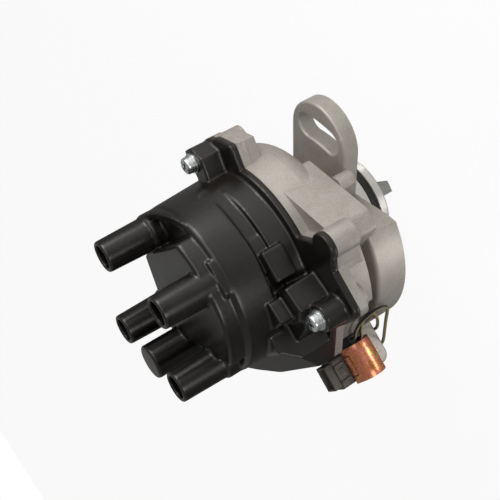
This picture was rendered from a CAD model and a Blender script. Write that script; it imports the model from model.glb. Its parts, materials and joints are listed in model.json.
import json
from math import cos, pi, radians, sin

import bmesh
import bpy
from mathutils import Matrix, Vector

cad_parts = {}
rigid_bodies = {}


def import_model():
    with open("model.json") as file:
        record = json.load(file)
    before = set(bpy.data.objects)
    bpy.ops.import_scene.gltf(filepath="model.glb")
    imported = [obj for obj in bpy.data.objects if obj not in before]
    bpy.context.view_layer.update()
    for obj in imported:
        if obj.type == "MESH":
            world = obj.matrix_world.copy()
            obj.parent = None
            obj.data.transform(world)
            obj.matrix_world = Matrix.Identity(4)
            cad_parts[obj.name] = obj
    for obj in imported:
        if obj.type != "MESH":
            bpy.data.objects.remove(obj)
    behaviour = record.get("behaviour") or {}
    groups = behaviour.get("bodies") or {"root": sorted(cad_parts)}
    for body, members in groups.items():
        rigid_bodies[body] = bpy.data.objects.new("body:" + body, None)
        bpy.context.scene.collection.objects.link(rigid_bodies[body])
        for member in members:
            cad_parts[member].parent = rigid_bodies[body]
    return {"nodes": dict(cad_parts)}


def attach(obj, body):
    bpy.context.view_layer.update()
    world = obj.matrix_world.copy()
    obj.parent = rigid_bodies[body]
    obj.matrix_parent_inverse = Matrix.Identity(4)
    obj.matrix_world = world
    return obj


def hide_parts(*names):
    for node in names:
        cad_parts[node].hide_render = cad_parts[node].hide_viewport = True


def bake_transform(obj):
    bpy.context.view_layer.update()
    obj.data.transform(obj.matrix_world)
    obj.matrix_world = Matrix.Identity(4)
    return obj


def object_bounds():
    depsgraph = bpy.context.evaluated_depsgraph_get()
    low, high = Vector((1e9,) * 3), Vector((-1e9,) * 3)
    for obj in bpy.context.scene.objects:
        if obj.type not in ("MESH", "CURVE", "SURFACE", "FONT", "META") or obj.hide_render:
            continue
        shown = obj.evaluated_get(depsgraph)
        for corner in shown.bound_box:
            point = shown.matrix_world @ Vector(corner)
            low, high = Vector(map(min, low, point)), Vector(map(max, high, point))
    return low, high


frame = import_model()
cad_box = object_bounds()
nodes = frame["nodes"]

# ------------------------------------------------------------------ camera
# A 65 mm lens half a metre away, rolled so that the shaft points to the lower left and the
# mounting ear stands at the top right.
MM = 0.001
CAMERA_PLACE = Vector((270.2, 356.2, 235.9)) * MM
CAMERA_AIM = Vector((-0.5658, -0.7310, -0.3815)).normalized()
CAMERA_TOP = Vector((-0.5740, 0.6812, -0.4545))

camera_data = bpy.data.cameras.new("camera")
camera_data.lens = 65.10
camera_data.clip_start = 0.01
camera = bpy.data.objects.new("camera", camera_data)
bpy.context.scene.collection.objects.link(camera)
bpy.context.scene.camera = camera
camera_right = CAMERA_AIM.cross(CAMERA_TOP).normalized()
camera_up = camera_right.cross(CAMERA_AIM)
camera_turn = Matrix((camera_right, camera_up, -CAMERA_AIM)).transposed().to_4x4()
camera.matrix_world = Matrix.Translation(CAMERA_PLACE) @ camera_turn

# ------------------------------------------------------------------ connector leads
# Two stranded copper wires of 1.8 mm in black PVC with an olive tracer stripe. They leave the
# wire block, loop under the connector's arm and go back up into the grommet.
CLOCKED = Matrix.Rotation(radians(-38), 4, "Z")    # the cap and its fittings are turned so far
LEAD_R = 0.9 * MM
PVC_BLACK, TRACER_OLIVE = "#17161a", "#9a9468"
TRACER_WIDTH = 0.30            # share of the way round the wire
TRACER_BLUR = 0.03             # soft border of the stripe, in the same share
INK_MM = 1.5                   # size of the worn spots in the stripe
SIGNAL_ROUTE = [(62.8, 15.5, 32.4), (62.8, 20.2, 32.4), (59.2, 25.4, 33.2), (55.6, 30.4, 30.4),
                (53.4, 36.2, 21.6), (55.4, 35.0, 13.6), (62.2, 23.0, 12.2), (68.9, 10.4, 9.6),
                (76.6, -3.0, 7.2), (78.5, -11.0, 6.5), (77.0, -15.0, 13.0), (71.0, -18.0, 21.0),
                (66.2, -20.6, 24.4), (63.9, -21.6, 29.0), (63.9, -21.6, 33.0)]
SUPPLY_ROUTE = [(64.4, 15.5, 28.4), (64.4, 20.0, 28.4), (60.4, 24.2, 29.6), (56.4, 27.8, 28.2),
                (54.4, 30.2, 24.0), (55.0, 29.2, 20.2), (59.4, 24.0, 17.2), (64.2, 10.0, 11.2),
                (68.6, -4.0, 6.4), (68.5, -12.0, 7.6), (66.2, -16.8, 15.5), (62.6, -19.2, 26.0),
                (62.6, -19.2, 33.0)]


def linear(hex_colour):
    """sRGB hex to the linear colour that a shader socket takes."""
    values = [int(hex_colour[i:i + 2], 16) / 255 for i in (1, 3, 5)]
    return [v / 12.92 if v <= 0.04045 else ((v + 0.055) / 1.055) ** 2.4 for v in values] + [1.0]


def node(owner, kind, settings=None, **links):
    """Adds a shader node to a material or world, with its settings and the links to its inputs.

    A link is named for its input, or _ and the input's number.
    """
    new = owner.node_tree.nodes.new("ShaderNode" + kind)
    for key, value in (settings or {}).items():
        if isinstance(key, int) or key in new.inputs:
            new.inputs[key].default_value = value
        else:
            setattr(new, key, value)
    for key, source in links.items():
        number = key[1:]
        socket = new.inputs[int(number) if number.isdigit() else key.replace("_", " ")]
        owner.node_tree.links.new(source, socket)
    return new


def new_material(name):
    """An empty node material."""
    material = bpy.data.materials.new(name)
    material.use_nodes = True
    material.node_tree.nodes.clear()
    return material


def striped_pvc(name, base, tracer):
    """Extruded PVC: smooth, with a printed stripe along the wire, on its UV map."""
    material = new_material(name)
    place = node(material, "TexCoord")
    split = node(material, "SeparateXYZ", None, Vector=place.outputs["UV"])
    off_centre = node(material, "Math", {"operation": "SUBTRACT", 1: 0.5},
                      _0=split.outputs["Y"])
    distance = node(material, "Math", {"operation": "ABSOLUTE"}, _0=off_centre.outputs[0])
    stripe = node(material, "MapRange",
                  {"From Min": TRACER_WIDTH / 2 - TRACER_BLUR,
                   "From Max": TRACER_WIDTH / 2 + TRACER_BLUR, "To Min": 1.0, "To Max": 0.0},
                  Value=distance.outputs[0])
    ink = node(material, "TexNoise", {"Scale": 1 / (INK_MM * MM), "Detail": 2.0},
               Vector=place.outputs["Object"])
    worn = node(material, "MapRange", {"To Min": 0.75, "To Max": 1.0}, Value=ink.outputs["Fac"])
    share = node(material, "Math", {"operation": "MULTIPLY"}, _0=stripe.outputs["Result"],
                 _1=worn.outputs["Result"])
    colour = node(material, "Mix", {"data_type": "RGBA", 6: linear(base), 7: linear(tracer)},
                  _0=share.outputs[0])
    rough = node(material, "MapRange", {"To Min": 0.34, "To Max": 0.5}, Value=ink.outputs["Fac"])
    shader = node(material, "BsdfPrincipled", None, Base_Color=colour.outputs[2],
                  Roughness=rough.outputs["Result"])
    node(material, "OutputMaterial", None, Surface=shader.outputs[0])
    return material


def lead(name, route, replaced, pvc):
    """A wire on its route: one smooth NURBS curve with a round section."""
    curve = bpy.data.curves.new(name, "CURVE")
    curve.dimensions = "3D"
    curve.bevel_depth = LEAD_R
    curve.bevel_resolution = 6
    curve.use_fill_caps = True
    curve.resolution_u = 10
    spline = curve.splines.new("NURBS")
    spline.points.add(len(route) - 1)
    for point, place in zip(spline.points, route):
        point.co = (*(CLOCKED @ Vector(place) * MM), 1.0)
    spline.order_u = 3
    spline.use_endpoint_u = True
    wire = bpy.data.objects.new(name, curve)
    bpy.context.scene.collection.objects.link(wire)
    curve.materials.append(pvc)
    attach(wire, "distributor_body")
    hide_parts(replaced)
    return wire, CLOCKED @ Vector(route[0]) * MM


tracer_pvc = striped_pvc("black_pvc_olive_tracer", PVC_BLACK, TRACER_OLIVE)
signal, signal_exit = lead("signal_wire", SIGNAL_ROUTE, "signal_lead", tracer_pvc)
supply, supply_exit = lead("supply_wire", SUPPLY_ROUTE, "supply_lead", tracer_pvc)

# ------------------------------------------------------------------ housing
# Die-cast aluminium alloy, shot-blasted after casting: a warm grey sandy skin, a little darker
# in patches. The pilot nose and mounting face below the plate are turned bright afterwards.
ALLOY = "#b1aca6"
ALLOY_PATCH = "#a8a29b"
ALLOY_TURNED = "#dcdad7"
GRIT_MM = 0.7                  # real grit marks are 0.2 mm; drawn coarser so that they show
PATCH_MM = 9.0
TURNING_MM = 0.35              # feed of the turning tool on the pilot
CAST_EDGE_MM = 0.5             # cast edges are never sharp
CAST_METALLIC = 0.45           # the blasted skin scatters light, so it reads half as bare metal
TURNED_ROUGHNESS = 0.26
FACE_Z = 0.0002                # all that lies lower than this is turned
BEVEL_SAMPLES = 6


def dress(names, material):
    """Gives CAD pieces a material."""
    for name in names:
        slots = nodes[name].data.materials
        slots.clear()
        slots.append(material)


def shot_blasted_alloy(name):
    """Cast alloy under fine grit marks; below the mounting face, turned with fine grooves."""
    material = new_material(name)
    place = node(material, "TexCoord")
    grit = node(material, "TexNoise",
                {"Scale": 1 / (GRIT_MM * MM), "Detail": 5.0, "Roughness": 0.65},
                Vector=place.outputs["Object"])
    patches = node(material, "TexNoise",
                   {"Scale": 1 / (PATCH_MM * MM), "Detail": 4.0, "Roughness": 0.55},
                   Vector=place.outputs["Object"])
    tone = node(material, "ValToRGB", None, Fac=patches.outputs["Fac"])
    tone.color_ramp.elements[0].position = 0.30
    tone.color_ramp.elements[0].color = linear(ALLOY_PATCH)
    tone.color_ramp.elements[1].position = 0.60
    tone.color_ramp.elements[1].color = linear(ALLOY)
    speck = node(material, "MapRange",
                 {"From Min": 0.3, "From Max": 0.7, "To Min": 0.80, "To Max": 1.13},
                 Value=grit.outputs["Fac"])
    specked = node(material, "VectorMath", {"operation": "SCALE"}, _0=tone.outputs["Color"],
                   Scale=speck.outputs["Result"])
    height = node(material, "SeparateXYZ", None, Vector=place.outputs["Object"])
    below = node(material, "Math", {"operation": "LESS_THAN", 1: FACE_Z},
                 _0=height.outputs["Z"])
    colour = node(material, "Mix", {"data_type": "RGBA", 7: linear(ALLOY_TURNED)},
                  _0=below.outputs[0], _6=specked.outputs[0])
    grooves = node(material, "TexWave", {"wave_type": "BANDS", "bands_direction": "Z",
                                         "Scale": 0.5 / (TURNING_MM * MM) / pi},
                   Vector=place.outputs["Object"])
    blasted_rough = node(material, "MapRange", {"To Min": 0.40, "To Max": 0.56},
                         Value=grit.outputs["Fac"])
    rough = node(material, "Mix", {"data_type": "FLOAT", 3: TURNED_ROUGHNESS},
                 _0=below.outputs[0], _2=blasted_rough.outputs["Result"])
    skin = node(material, "Mix", {"data_type": "FLOAT"}, _0=below.outputs[0],
                _2=grit.outputs["Fac"], _3=grooves.outputs["Fac"])
    soft_edge = node(material, "Bevel",
                     {"samples": BEVEL_SAMPLES, "Radius": CAST_EDGE_MM * MM})
    bump = node(material, "Bump", {"Strength": 0.6, "Distance": 0.16 * MM},
                Height=skin.outputs[0], Normal=soft_edge.outputs["Normal"])
    shader = node(material, "BsdfPrincipled", {"Metallic": CAST_METALLIC},
                  Base_Color=colour.outputs[2], Roughness=rough.outputs[0],
                  Normal=bump.outputs["Normal"])
    node(material, "OutputMaterial", None, Surface=shader.outputs[0])
    return material


dress(["housing"], shot_blasted_alloy("shot_blasted_aluminium"))

# ------------------------------------------------------------------ cap and rotor arm
# Glass-filled thermoset, compression moulded: near black with a brown cast, semi-gloss, with
# a faint ripple where the resin flowed. The mould leaves its corners and roots softly rounded.
THERMOSET = "#15110e"
FLOW_MM = 12.0                 # length of the resin's flow marks
MOULD_VOXEL = 0.60 * MM
MOULD_SMOOTHING = 7
MOULD_SHARE = 0.36             # share of the remeshed faces that is kept
WELD = 0.001 * MM              # joins the loose triangles of a CAD piece


def moulded(name, colour, roughness, edge_mm=0.6, flow_mm=FLOW_MM, grain_mm=0.4):
    """Moulded plastic or rubber: flow marks in its gloss, a fine grain, soft edges."""
    material = new_material(name)
    place = node(material, "TexCoord")
    flow = node(material, "TexNoise",
                {"Scale": 1 / (flow_mm * MM), "Detail": 3.0, "Distortion": 0.6},
                Vector=place.outputs["Object"])
    grain = node(material, "TexNoise", {"Scale": 1 / (grain_mm * MM), "Detail": 3.0},
                 Vector=place.outputs["Object"])
    soft_edge = node(material, "Bevel", {"samples": BEVEL_SAMPLES, "Radius": edge_mm * MM})
    ripple = node(material, "Bump", {"Strength": 0.25, "Distance": 0.5 * MM},
                  Height=flow.outputs["Fac"], Normal=soft_edge.outputs["Normal"])
    bump = node(material, "Bump", {"Strength": 0.18, "Distance": 0.06 * MM},
                Height=grain.outputs["Fac"], Normal=ripple.outputs["Normal"])
    rough = node(material, "MapRange", {"To Min": roughness - 0.06, "To Max": roughness + 0.08},
                 Value=flow.outputs["Fac"])
    tint = node(material, "MapRange",
                {"From Min": 0.35, "From Max": 0.65, "To Min": 0.85, "To Max": 1.15},
                Value=flow.outputs["Fac"])
    toned = node(material, "VectorMath", {"operation": "SCALE", 0: linear(colour)[:3]},
                 Scale=tint.outputs["Result"])
    shader = node(material, "BsdfPrincipled", None, Base_Color=toned.outputs[0],
                  Roughness=rough.outputs["Result"], Normal=bump.outputs["Normal"])
    node(material, "OutputMaterial", None, Surface=shader.outputs[0])
    return material


def deselect_all():
    """Leaves nothing selected."""
    for item in bpy.context.view_layer.objects:
        item.select_set(False)


def take(piece):
    """Makes a piece the only selected and active one."""
    deselect_all()
    piece.select_set(True)
    bpy.context.view_layer.objects.active = piece


def apply_modifier(piece, kind, **settings):
    """Adds a modifier with its settings and applies it."""
    take(piece)
    modifier = piece.modifiers.new(kind.lower(), kind)
    for key, value in settings.items():
        setattr(modifier, key, value)
    bpy.ops.object.modifier_apply(modifier=modifier.name)


def welded_copy(source, name):
    """A free copy of a CAD piece with its triangles joined. The CAD piece stays as it is."""
    piece = nodes[source].copy()
    piece.data = nodes[source].data.copy()
    piece.name = name
    piece.parent = None
    piece.matrix_world = Matrix.Identity(4)
    bpy.context.scene.collection.objects.link(piece)
    take(piece)
    bpy.ops.object.mode_set(mode="EDIT")
    bpy.ops.mesh.select_all(action="SELECT")
    bpy.ops.mesh.remove_doubles(threshold=WELD)
    bpy.ops.object.mode_set(mode="OBJECT")
    return piece


thermoset = moulded("moulded_thermoset", THERMOSET, 0.30)
dress(["rotor_arm", "distributor_cap"], thermoset)
cap = welded_copy("distributor_cap", "moulded_cap")
apply_modifier(cap, "REMESH", mode="VOXEL", voxel_size=MOULD_VOXEL)
apply_modifier(cap, "SMOOTH", factor=0.5, iterations=MOULD_SMOOTHING)
apply_modifier(cap, "DECIMATE", ratio=MOULD_SHARE)
bpy.ops.object.shade_smooth()
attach(cap, "distributor_body")
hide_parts("distributor_cap")

# ------------------------------------------------------------------ seals and inner mouldings
# Nitrile rings and grommet; black glass-filled nylon for the sensor, module, dust cover and
# winding; a pressed carbon brush. All are duller than the cap.
nitrile = moulded("nitrile_rubber", "#161515", 0.46, 0.4, 3.0, 0.25)
black_nylon = moulded("glass_filled_nylon", "#1b1b1c", 0.50, 0.4, 6.0)
dress(["pilot_o_ring", "oil_seal", "cap_gasket", "lead_grommet"], nitrile)
dress(["angle_sensor", "igniter_module", "dust_cover", "coil_winding_body", "connector_holder"],
      black_nylon)
dress(["carbon_brush"], moulded("pressed_carbon", "#262627", 0.62, 0.2, 2.0))

# ------------------------------------------------------------------ inner metal parts
# Ground steel shaft and bearing, rolled steel strip, brass contacts, laminated core: each with
# the fine lines that grinding, rolling or turning leaves.
CLOUD_MM = 4.0                 # size of the duller patches that handling leaves
FINE_EDGE_MM = 0.25


def worked_metal(name, colour, roughness, line_mm=0.25, stretch=(1, 1, 10)):
    """Bare metal with tool lines; stretch gives their direction and length."""
    material = new_material(name)
    place = node(material, "TexCoord")
    drawn_out = node(material, "Mapping", {"Scale": stretch}, Vector=place.outputs["Object"])
    lines = node(material, "TexNoise",
                 {"Scale": 1 / (line_mm * MM * max(stretch)), "Detail": 4.0},
                 Vector=drawn_out.outputs["Vector"])
    cloud = node(material, "TexNoise", {"Scale": 1 / (CLOUD_MM * MM), "Detail": 3.0},
                 Vector=place.outputs["Object"])
    rough = node(material, "MapRange", {"To Min": roughness - 0.07, "To Max": roughness + 0.10},
                 Value=cloud.outputs["Fac"])
    soft_edge = node(material, "Bevel", {"samples": BEVEL_SAMPLES, "Radius": FINE_EDGE_MM * MM})
    bump = node(material, "Bump", {"Strength": 0.25, "Distance": 0.03 * MM},
                Height=lines.outputs["Fac"], Normal=soft_edge.outputs["Normal"])
    shade = node(material, "MapRange", {"To Min": 0.86, "To Max": 1.04},
                 Value=lines.outputs["Fac"])
    toned = node(material, "VectorMath", {"operation": "SCALE", 0: linear(colour)[:3]},
                 Scale=shade.outputs["Result"])
    shader = node(material, "BsdfPrincipled", {"Metallic": 1.0}, Base_Color=toned.outputs[0],
                  Roughness=rough.outputs["Result"], Normal=bump.outputs["Normal"])
    node(material, "OutputMaterial", None, Surface=shader.outputs[0])
    return material


ground_steel = worked_metal("ground_steel", "#c4c4c2", 0.26)
rolled_steel = worked_metal("rolled_steel", "#b0b0ae", 0.34, 0.3, (10, 1, 1))
turned_brass = worked_metal("turned_brass", "#c9a25a", 0.28, 0.2, (1, 1, 6))
dress(["bearing_outer_race", "bearing_inner_race", "bearing_balls", "shaft", "coupling_pin",
       "drive_coupling", "disc_hub", "disc_clamp_ring"], ground_steel)
dress(["bearing_cage", "thrust_washer", "bearing_retainer", "trigger_disc", "brush_spring"],
      rolled_steel)
dress(["coil_terminal", "tower_terminals", "rotor_electrode", "connector_pins", "shaft_bush"],
      turned_brass)
dress(["coil_core"], worked_metal("core_laminations", "#6c6c6e", 0.45, 0.35, (1, 8, 1)))

# ------------------------------------------------------------------ brush spring
# A coil of spring steel wire that presses the carbon brush on the rotor arm. Its foot follows
# the brush and its top stays on the terminal strip in the cap.
WIRE_SMOOTH_ANGLE = radians(50)

contact_spring = welded_copy("brush_spring", "contact_spring")
bpy.ops.object.shade_smooth_by_angle(angle=WIRE_SMOOTH_ANGLE)
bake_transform(contact_spring)
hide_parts("brush_spring")

# ------------------------------------------------------------------ small screws and washers
# M3 and M5 steel fasteners, cold headed and bright zinc plated: bluish white, mirror bright
# where the head was struck.
bright_zinc = worked_metal("bright_zinc", "#d6dbdc", 0.20, 0.5, (1, 1, 1))
dress(["retainer_screws", "sensor_screws", "module_screws", "dust_cover_screws", "coil_screws",
       "cap_screw_washers", "cap_spring_washers", "connector_screw", "rotor_grub_screw"],
      bright_zinc)

# ------------------------------------------------------------------ cap screws
# Three M5 pan-head screws with a cross recess, over a spring washer and a plain washer. The
# head is a cold-headed dome with a small flat top; the recess is punched.
CAP_SCREWS = [((-57.69, 16.87), 0.4), ((39.8, 58.4), 1.1), ((19.86, -56.72), 0.1)]
CAP_SCREW_SEAT = 64.2 * MM
PAN_R, PAN_H, PAN_ROUND = 4.5 * MM, 3.4 * MM, 1.5 * MM
SHANK_R, SHANK_LENGTH = 2.5 * MM, 26 * MM
TIP_LENGTH, TIP_TAPER = 1.2 * MM, 0.7
RECESS_HALF, RECESS_WIDTH, RECESS_DEPTH = 3.1 * MM, 1.3 * MM, 2.3 * MM
PUNCH_CLEAR = 0.4 * MM         # the punch stands out of the head by this much
SHARP_ANGLE = radians(35)


def pick_faces(piece, chosen):
    """In edit mode, selects the faces that the test accepts, and nothing else."""
    bpy.ops.mesh.select_mode(type="FACE")
    bpy.ops.mesh.select_all(action="DESELECT")
    mesh = bmesh.from_edit_mesh(piece.data)
    for face in mesh.faces:
        face.select_set(chosen(face))
    bmesh.update_edit_mesh(piece.data)


def extrude_by(*way):
    """In edit mode, draws the selection out by a vector."""
    bpy.ops.mesh.extrude_region_move(TRANSFORM_OT_translate={"value": way})


def block(name, low, high):
    """A box between two corners, its scale applied."""
    deselect_all()
    bpy.ops.mesh.primitive_cube_add(size=1, location=(low + high) / 2)
    piece = bpy.context.object
    piece.name = name
    piece.scale = high - low
    bpy.ops.object.transform_apply(location=True, rotation=True, scale=True)
    return piece


deselect_all()
bpy.ops.mesh.primitive_cylinder_add(vertices=40, radius=PAN_R, depth=PAN_H,
                                    location=(0, 0, PAN_H / 2))
pan_screw = bpy.context.object
pan_screw.name = "cap_screw_1"
take(pan_screw)
bpy.ops.object.transform_apply(location=True, rotation=True, scale=True)
bpy.ops.object.mode_set(mode="EDIT")
# domed top
pick_faces(pan_screw, lambda face: face.normal.z > 0.9)
bpy.ops.mesh.bevel(offset=PAN_ROUND, segments=5, profile=0.5, affect="EDGES")
# shank out of the underside, with a tapered tip
pick_faces(pan_screw, lambda face: face.normal.z < -0.9)
bpy.ops.mesh.inset(thickness=PAN_R - SHANK_R)
extrude_by(0, 0, TIP_LENGTH - SHANK_LENGTH)
extrude_by(0, 0, -TIP_LENGTH)
bpy.ops.transform.resize(value=(TIP_TAPER, TIP_TAPER, 1.0))
bpy.ops.object.mode_set(mode="OBJECT")
# cross recess, one arm at a time
punch_low, punch_high = PAN_H - RECESS_DEPTH, PAN_H + PUNCH_CLEAR
for half_x, half_y in ((RECESS_HALF, RECESS_WIDTH / 2), (RECESS_WIDTH / 2, RECESS_HALF)):
    punch = block("punch", Vector((-half_x, -half_y, punch_low)),
                  Vector((half_x, half_y, punch_high)))
    apply_modifier(pan_screw, "BOOLEAN", operation="DIFFERENCE", solver="EXACT", object=punch)
    bpy.data.objects.remove(punch)
bpy.ops.object.shade_smooth_by_angle(angle=SHARP_ANGLE)
pan_screw.data.materials.clear()
pan_screw.data.materials.append(bright_zinc)
screw_set = [pan_screw]
for number in (2, 3):
    twin = pan_screw.copy()
    twin.data = pan_screw.data.copy()
    twin.name = f"cap_screw_{number}"
    bpy.context.scene.collection.objects.link(twin)
    screw_set.append(twin)
for screw, ((x, y), recess_turn) in zip(screw_set, CAP_SCREWS):
    seat = CLOCKED @ Matrix.Translation((x * MM, y * MM, CAP_SCREW_SEAT))
    screw.data.transform(seat @ Matrix.Rotation(recess_turn, 4, "Z"))
    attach(screw, "distributor_body")
    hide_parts("cap_screws")

# ------------------------------------------------------------------ connector clip
# A strip of 1 mm spring steel, bent round the wire block and lanced so that a tongue holds the
# plug. Its thick yellow chromate runs from gold through copper to a pinkish red.
CLIP_X, CLIP_END = 65.5 * MM, 85.5 * MM
CLIP_Y, CLIP_Z, CLIP_R = 10.0 * MM, 29.7 * MM, 8.2 * MM
CLIP_FOOT = 11.0 * MM
CLIP_THICK = 1.0 * MM
CLIP_EDGE = 0.12 * MM
CLIP_TURN = radians(151.4)     # from the foot up and over to the leg
CLIP_TURN_STEPS = 24
CLIP_LEG = 4.6 * MM
TONGUE = 11.5 * MM
SLOT = 0.35 * MM               # width of the lanced slot
MOTTLE_MM, SPOT_MM = 5.5, 0.9
CHROMATE = ((0.30, "#b4683f"), (0.42, "#dc8e5e"), (0.52, "#d98371"), (0.62, "#dda566"),
            (0.72, "#e6c577"))


def chromate(name):
    """Yellow passivated zinc: a mottle of gold, copper and red with dark specks, slightly hazy."""
    material = new_material(name)
    place = node(material, "TexCoord")
    mottle = node(material, "TexNoise", {"Scale": 1 / (MOTTLE_MM * MM), "Detail": 4.0,
                                         "Roughness": 0.6, "Distortion": 0.5},
                  Vector=place.outputs["Object"])
    spots = node(material, "TexNoise", {"Scale": 1 / (SPOT_MM * MM), "Detail": 2.0},
                 Vector=place.outputs["Object"])
    hue = node(material, "ValToRGB", None, Fac=mottle.outputs["Fac"])
    ends = hue.color_ramp.elements
    for end, (position, colour) in ((ends[0], CHROMATE[0]), (ends[1], CHROMATE[-1])):
        end.position = position
        end.color = linear(colour)
    for position, colour in CHROMATE[1:-1]:
        ends.new(position).color = linear(colour)
    stain = node(material, "MapRange",
                 {"From Min": 0.30, "From Max": 0.46, "To Min": 0.45, "To Max": 1.0},
                 Value=spots.outputs["Fac"])
    stained = node(material, "VectorMath", {"operation": "SCALE"}, _0=hue.outputs["Color"],
                   Scale=stain.outputs["Result"])
    rough = node(material, "MapRange", {"To Min": 0.20, "To Max": 0.36},
                 Value=mottle.outputs["Fac"])
    bump = node(material, "Bump", {"Strength": 0.2, "Distance": 0.08 * MM},
                Height=mottle.outputs["Fac"])
    shader = node(material, "BsdfPrincipled", {"Metallic": 0.75},
                  Base_Color=stained.outputs[0], Roughness=rough.outputs["Result"],
                  Normal=bump.outputs["Normal"])
    node(material, "OutputMaterial", None, Surface=shader.outputs[0])
    return material


def pick_edges(piece, chosen):
    """In edit mode, selects the edges that the test accepts, and nothing else."""
    bpy.ops.mesh.select_mode(type="EDGE")
    bpy.ops.mesh.select_all(action="DESELECT")
    mesh = bmesh.from_edit_mesh(piece.data)
    for edge in mesh.edges:
        edge.select_set(chosen(edge))
    bmesh.update_edit_mesh(piece.data)


def place_clocked(piece):
    """Turns a piece that was modelled square to the connector to where the cap is clocked."""
    piece.data.transform(CLOCKED)
    piece.data.update()


deselect_all()
bpy.ops.mesh.primitive_plane_add(
    size=1, location=((CLIP_X + CLIP_END) / 2, CLIP_Y - CLIP_FOOT / 2, CLIP_Z - CLIP_R))
clip = bpy.context.object
clip.name = "clip_strip"
clip.scale = (CLIP_END - CLIP_X, CLIP_FOOT, 1)
bpy.ops.object.transform_apply(location=True, rotation=True, scale=True)
bpy.ops.object.mode_set(mode="EDIT")
# the strip in three widths: the middle one becomes the tongue
clip_middle = (CLIP_X + CLIP_END) / 2
for cut_x in (clip_middle - TONGUE / 2, clip_middle + TONGUE / 2):
    bpy.ops.mesh.select_all(action="SELECT")
    bpy.ops.mesh.bisect(plane_co=(cut_x, 0, 0), plane_no=(1, 0, 0))
# round the wire block, then straight up the leg
pick_edges(clip, lambda edge: all(abs(end.co.y - CLIP_Y) < WELD for end in edge.verts))
bpy.ops.mesh.spin(steps=CLIP_TURN_STEPS, angle=-CLIP_TURN, center=(0, CLIP_Y, CLIP_Z),
                  axis=(1, 0, 0))
leg_angle = CLIP_TURN - pi / 2
leg_run = Vector((0, -sin(leg_angle), cos(leg_angle)))
leg_start = Vector((0, CLIP_Y + CLIP_R * cos(leg_angle), CLIP_Z + CLIP_R * sin(leg_angle)))
extrude_by(*leg_run * SLOT * 2)
extrude_by(*leg_run * (CLIP_LEG - SLOT * 2))


def on_tongue(face):
    """True for the faces in the middle of the leg."""
    centre = face.calc_center_median()
    run = (Vector((0, centre.y, centre.z)) - leg_start).dot(leg_run)
    return abs(centre.x - clip_middle) < TONGUE / 2 and run > SLOT * 2


# tongue: the middle of the leg, cut free on three sides
pick_faces(clip, on_tongue)
bpy.ops.mesh.inset(thickness=SLOT, use_boundary=False)
pick_faces(clip, lambda face: on_tongue(face) and face.calc_area() < 0.3 * TONGUE * CLIP_LEG)
bpy.ops.mesh.delete(type="FACE")
bpy.ops.object.mode_set(mode="OBJECT")
apply_modifier(clip, "SOLIDIFY", thickness=CLIP_THICK, offset=0.0)
apply_modifier(clip, "BEVEL", width=CLIP_EDGE, segments=2, limit_method="ANGLE")
bpy.ops.object.shade_smooth_by_angle(angle=SHARP_ANGLE)
place_clocked(clip)
clip.data.materials.append(chromate("yellow_chromate"))
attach(clip, "distributor_body")
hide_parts("connector_clip")

# ------------------------------------------------------------------ connector plug
# Glass-filled nylon, injection moulded in dark grey: a block with a narrower shroud round the
# socket, two guide ribs on its front and a lock ramp between them.
PLUG_MIN, PLUG_MAX = Vector((67.5, -4.0, 33.0)) * MM, Vector((84.5, 9.0, 46.5)) * MM
PLUG_CORNER, PLUG_EDGE = 1.8 * MM, 0.25 * MM
SHROUD_STEP, SHROUD_HEIGHT = 1.5 * MM, 4.5 * MM
SHROUD_WALL, SOCKET_DEPTH = 1.2 * MM, 11.0 * MM
RIB_STARTS, RIB_WIDTH = (71.0, 80.0), 1.1
RAMP_DROP = 1.8 * MM           # the ramp's top edge lies this far behind its foot
grey_nylon = moulded("grey_nylon", "#57504a", 0.44, 0.3, 8.0)

plug = block("plug_shell", PLUG_MIN, PLUG_MAX)
bpy.ops.object.mode_set(mode="EDIT")
pick_edges(plug, lambda edge: abs((edge.verts[0].co - edge.verts[1].co).z) > 10 * MM)
bpy.ops.mesh.bevel(offset=PLUG_CORNER, segments=4, affect="EDGES")
pick_faces(plug, lambda face: face.normal.z > 0.9)
bpy.ops.mesh.inset(thickness=SHROUD_STEP)
extrude_by(0, 0, SHROUD_HEIGHT)
bpy.ops.mesh.inset(thickness=SHROUD_WALL)
extrude_by(0, 0, -SOCKET_DEPTH)
bpy.ops.object.mode_set(mode="OBJECT")
ribs = [block("rib", Vector((x, 7.6, 40.5)) * MM, Vector((x + RIB_WIDTH, 10.2, 46.3)) * MM)
        for x in RIB_STARTS]
ramp = block("lock_ramp", Vector((73.8, 7.6, 42.0)) * MM, Vector((78.2, 10.4, 46.0)) * MM)
bpy.ops.object.mode_set(mode="EDIT")
pick_edges(ramp, lambda edge: all(end.co.y > 9 * MM and end.co.z > 45 * MM
                                  for end in edge.verts))
bpy.ops.transform.translate(value=(0, -RAMP_DROP, 0))
bpy.ops.object.mode_set(mode="OBJECT")
take(plug)
for fitting in ribs + [ramp]:
    fitting.select_set(True)
bpy.ops.object.join()
apply_modifier(plug, "BEVEL", width=PLUG_EDGE, segments=2, limit_method="ANGLE")
bpy.ops.object.shade_smooth_by_angle(angle=SHARP_ANGLE)
place_clocked(plug)
plug.data.materials.clear()
plug.data.materials.append(grey_nylon)
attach(plug, "distributor_body")
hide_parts("connector_body")

# ------------------------------------------------------------------ studio
# A white table under a dim pale sky. Two soft panels stand low, by the ear and by the plug; a
# third lights the table behind the ear, and a small strip draws the clip's highlight.
SKY_COLOUR, LAMP_COLOUR, PAPER_COLOUR = "#fbfaf8", "#fffdfa", "#f4f4f3"
WHITE = (1, 1, 1, 1)
SKY_LIGHT, SKY_GLOSS = 0.08, 0.28    # for light on the object, and more for its reflections
FLOOR_GLOW = 0.94              # share of the table that is plain white; the rest takes shadow
FLOOR_DROP = 0.5 * MM

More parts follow.
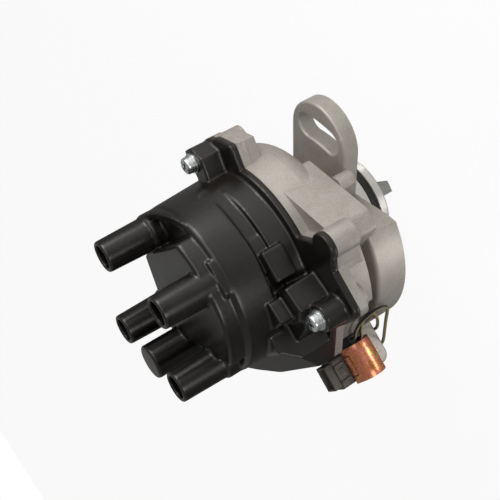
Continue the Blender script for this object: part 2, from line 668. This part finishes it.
sky = bpy.data.worlds.new("sky")
sky.use_nodes = True
sky.node_tree.nodes.clear()
bpy.context.scene.world = sky
sky_ray = node(sky, "LightPath")
sky_strength = node(sky, "Math", {"operation": "MULTIPLY_ADD", 1: SKY_GLOSS, 2: SKY_LIGHT},
                    _0=sky_ray.outputs["Is Glossy Ray"])
sky_lit = node(sky, "Background", {"Color": linear(SKY_COLOUR)},
               Strength=sky_strength.outputs[0])
sky_seen = node(sky, "Background", {"Color": WHITE})
sky_mix = node(sky, "MixShader", None, _0=sky_ray.outputs["Is Camera Ray"],
               _1=sky_lit.outputs[0], _2=sky_seen.outputs[0])
node(sky, "OutputWorld", None, Surface=sky_mix.outputs[0])

bpy.ops.mesh.primitive_plane_add(size=6.0, location=(0, 0, cad_box[0][2] - FLOOR_DROP))
floor = bpy.context.object
floor.name = "studio_floor"
paper = new_material("white_paper")
paper_face = node(paper, "BsdfDiffuse", {"Color": linear(PAPER_COLOUR)})
paper_glow = node(paper, "Emission", {"Color": WHITE, "Strength": 1.0})
paper_ray = node(paper, "LightPath")
paper_share = node(paper, "Math", {"operation": "MULTIPLY", 1: FLOOR_GLOW},
                   _0=paper_ray.outputs["Is Camera Ray"])
paper_mix = node(paper, "MixShader", None, _0=paper_share.outputs[0], _1=paper_face.outputs[0],
                 _2=paper_glow.outputs[0])
node(paper, "OutputMaterial", None, Surface=paper_mix.outputs[0])
floor.data.materials.append(paper)


def soft_light(name, place, target, size, watts, width=None):
    """An area lamp aimed at a point, square unless it is given a width."""
    data = bpy.data.lights.new(name, "AREA")
    data.shape = "RECTANGLE"
    data.size = size
    data.size_y = width or size
    data.energy = watts
    data.color = linear(LAMP_COLOUR)[:3]
    lamp = bpy.data.objects.new(name, data)
    bpy.context.scene.collection.objects.link(lamp)
    lamp.location = place
    lamp.rotation_euler = (Vector(target) - Vector(place)).to_track_quat("-Z", "Y").to_euler()


soft_light("key", (-0.42, 0.95, 0.14), (0, 0, 0.05), 0.36, 3.3)
soft_light("fill", (0.92, 0.30, 0.08), (0, 0, 0.03), 0.36, 2.2)
soft_light("table_light", (-0.02, 0.42, 0.16), (-0.02, 0.38, -0.04), 0.50, 1.4)
soft_light("strip", CLOCKED @ Vector((0.090, 0.083, -0.028)),
           CLOCKED @ Vector((0.090, 0.012, 0.030)), 0.05, 0.032, width=0.03)
bpy.context.scene.view_settings.view_transform = "Standard"
